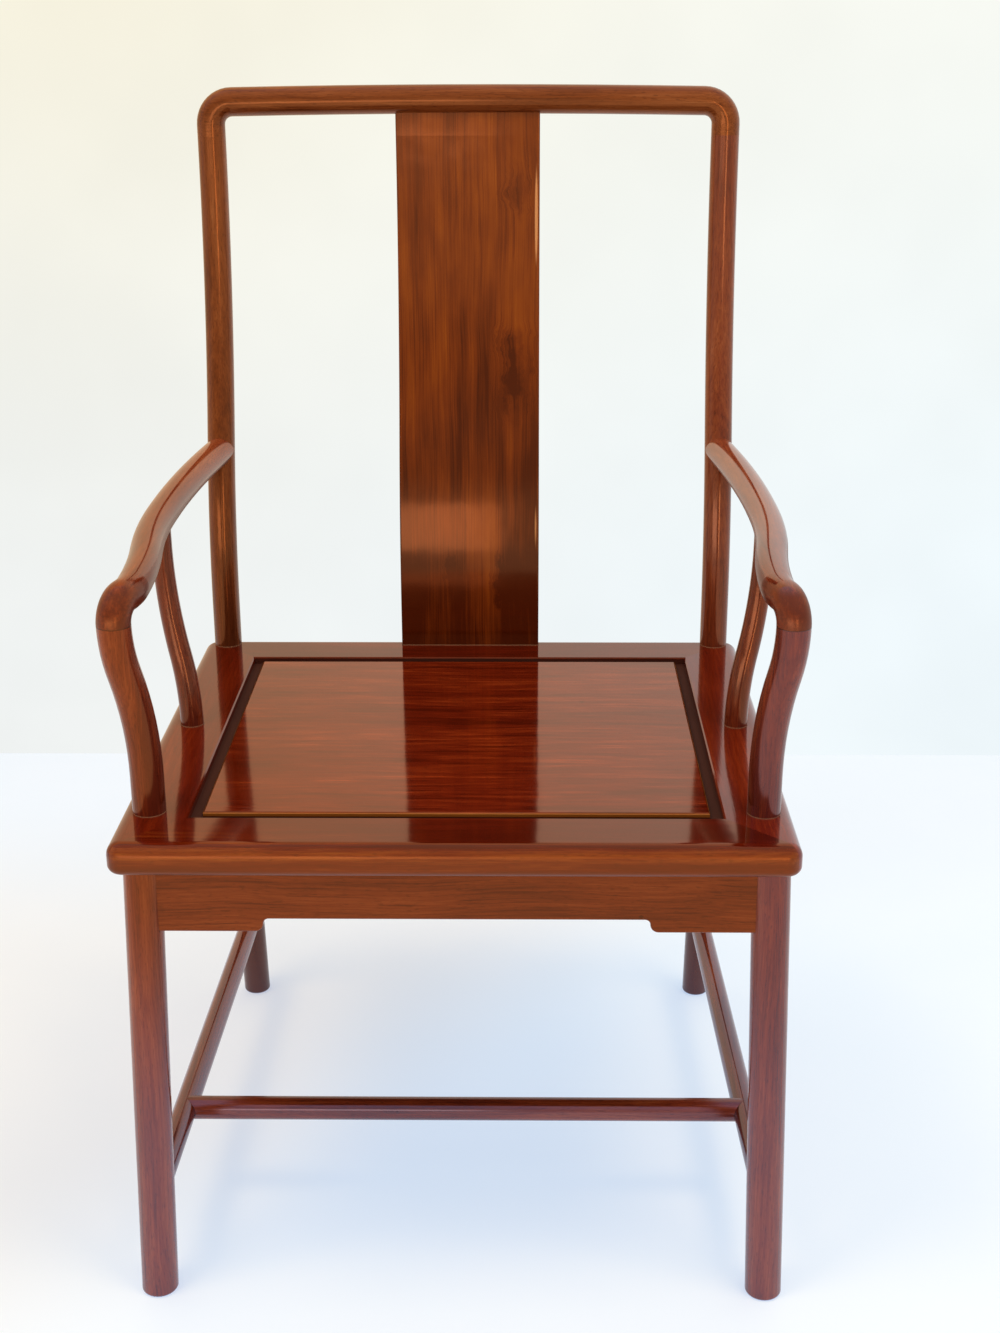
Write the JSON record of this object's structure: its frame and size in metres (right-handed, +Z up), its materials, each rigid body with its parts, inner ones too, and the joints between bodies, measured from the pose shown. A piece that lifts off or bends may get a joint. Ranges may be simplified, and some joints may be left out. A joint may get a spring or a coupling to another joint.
{
  "type": "official hat chair",
  "caption": "Hardwood official hat armchair: curved arms on goose-neck posts, S-curved splat and back posts, square-cornered crest rail and a floating panel seat.",
  "frame": {"origin": "on the floor, under the middle of the chair's bounding box", "axes": "+Z up, +X to the right and -Y towards the viewer when the chair is seen from its front"},
  "size_m": [0.5873, 0.6104, 1.038],
  "materials": {
    "frame_wood": "gloss lacquer on reddish-brown hardwood",
    "splat_wood": "gloss lacquer on orange-brown figured hardwood",
    "panel_wood": "gloss lacquer on reddish-brown hardwood"
  },
  "bodies": {
    "root": {"front_left_post": "frame_wood", "front_right_post": "frame_wood", "rear_left_post": "frame_wood", "rear_right_post": "frame_wood", "crest_rail": "frame_wood", "left_arm": "frame_wood", "right_arm": "frame_wood", "left_side_post": "frame_wood", "right_side_post": "frame_wood", "front_seat_rail": "frame_wood", "rear_seat_rail": "frame_wood", "left_seat_rail": "frame_wood", "right_seat_rail": "frame_wood", "left_batten": "frame_wood", "right_batten": "frame_wood", "front_apron": "frame_wood", "rear_apron": "frame_wood", "left_apron": "frame_wood", "right_apron": "frame_wood", "left_stretcher": "frame_wood", "right_stretcher": "frame_wood", "cross_stretcher": "frame_wood", "back_splat": "splat_wood", "seat_panel": "panel_wood"}
  },
  "joints": []
}
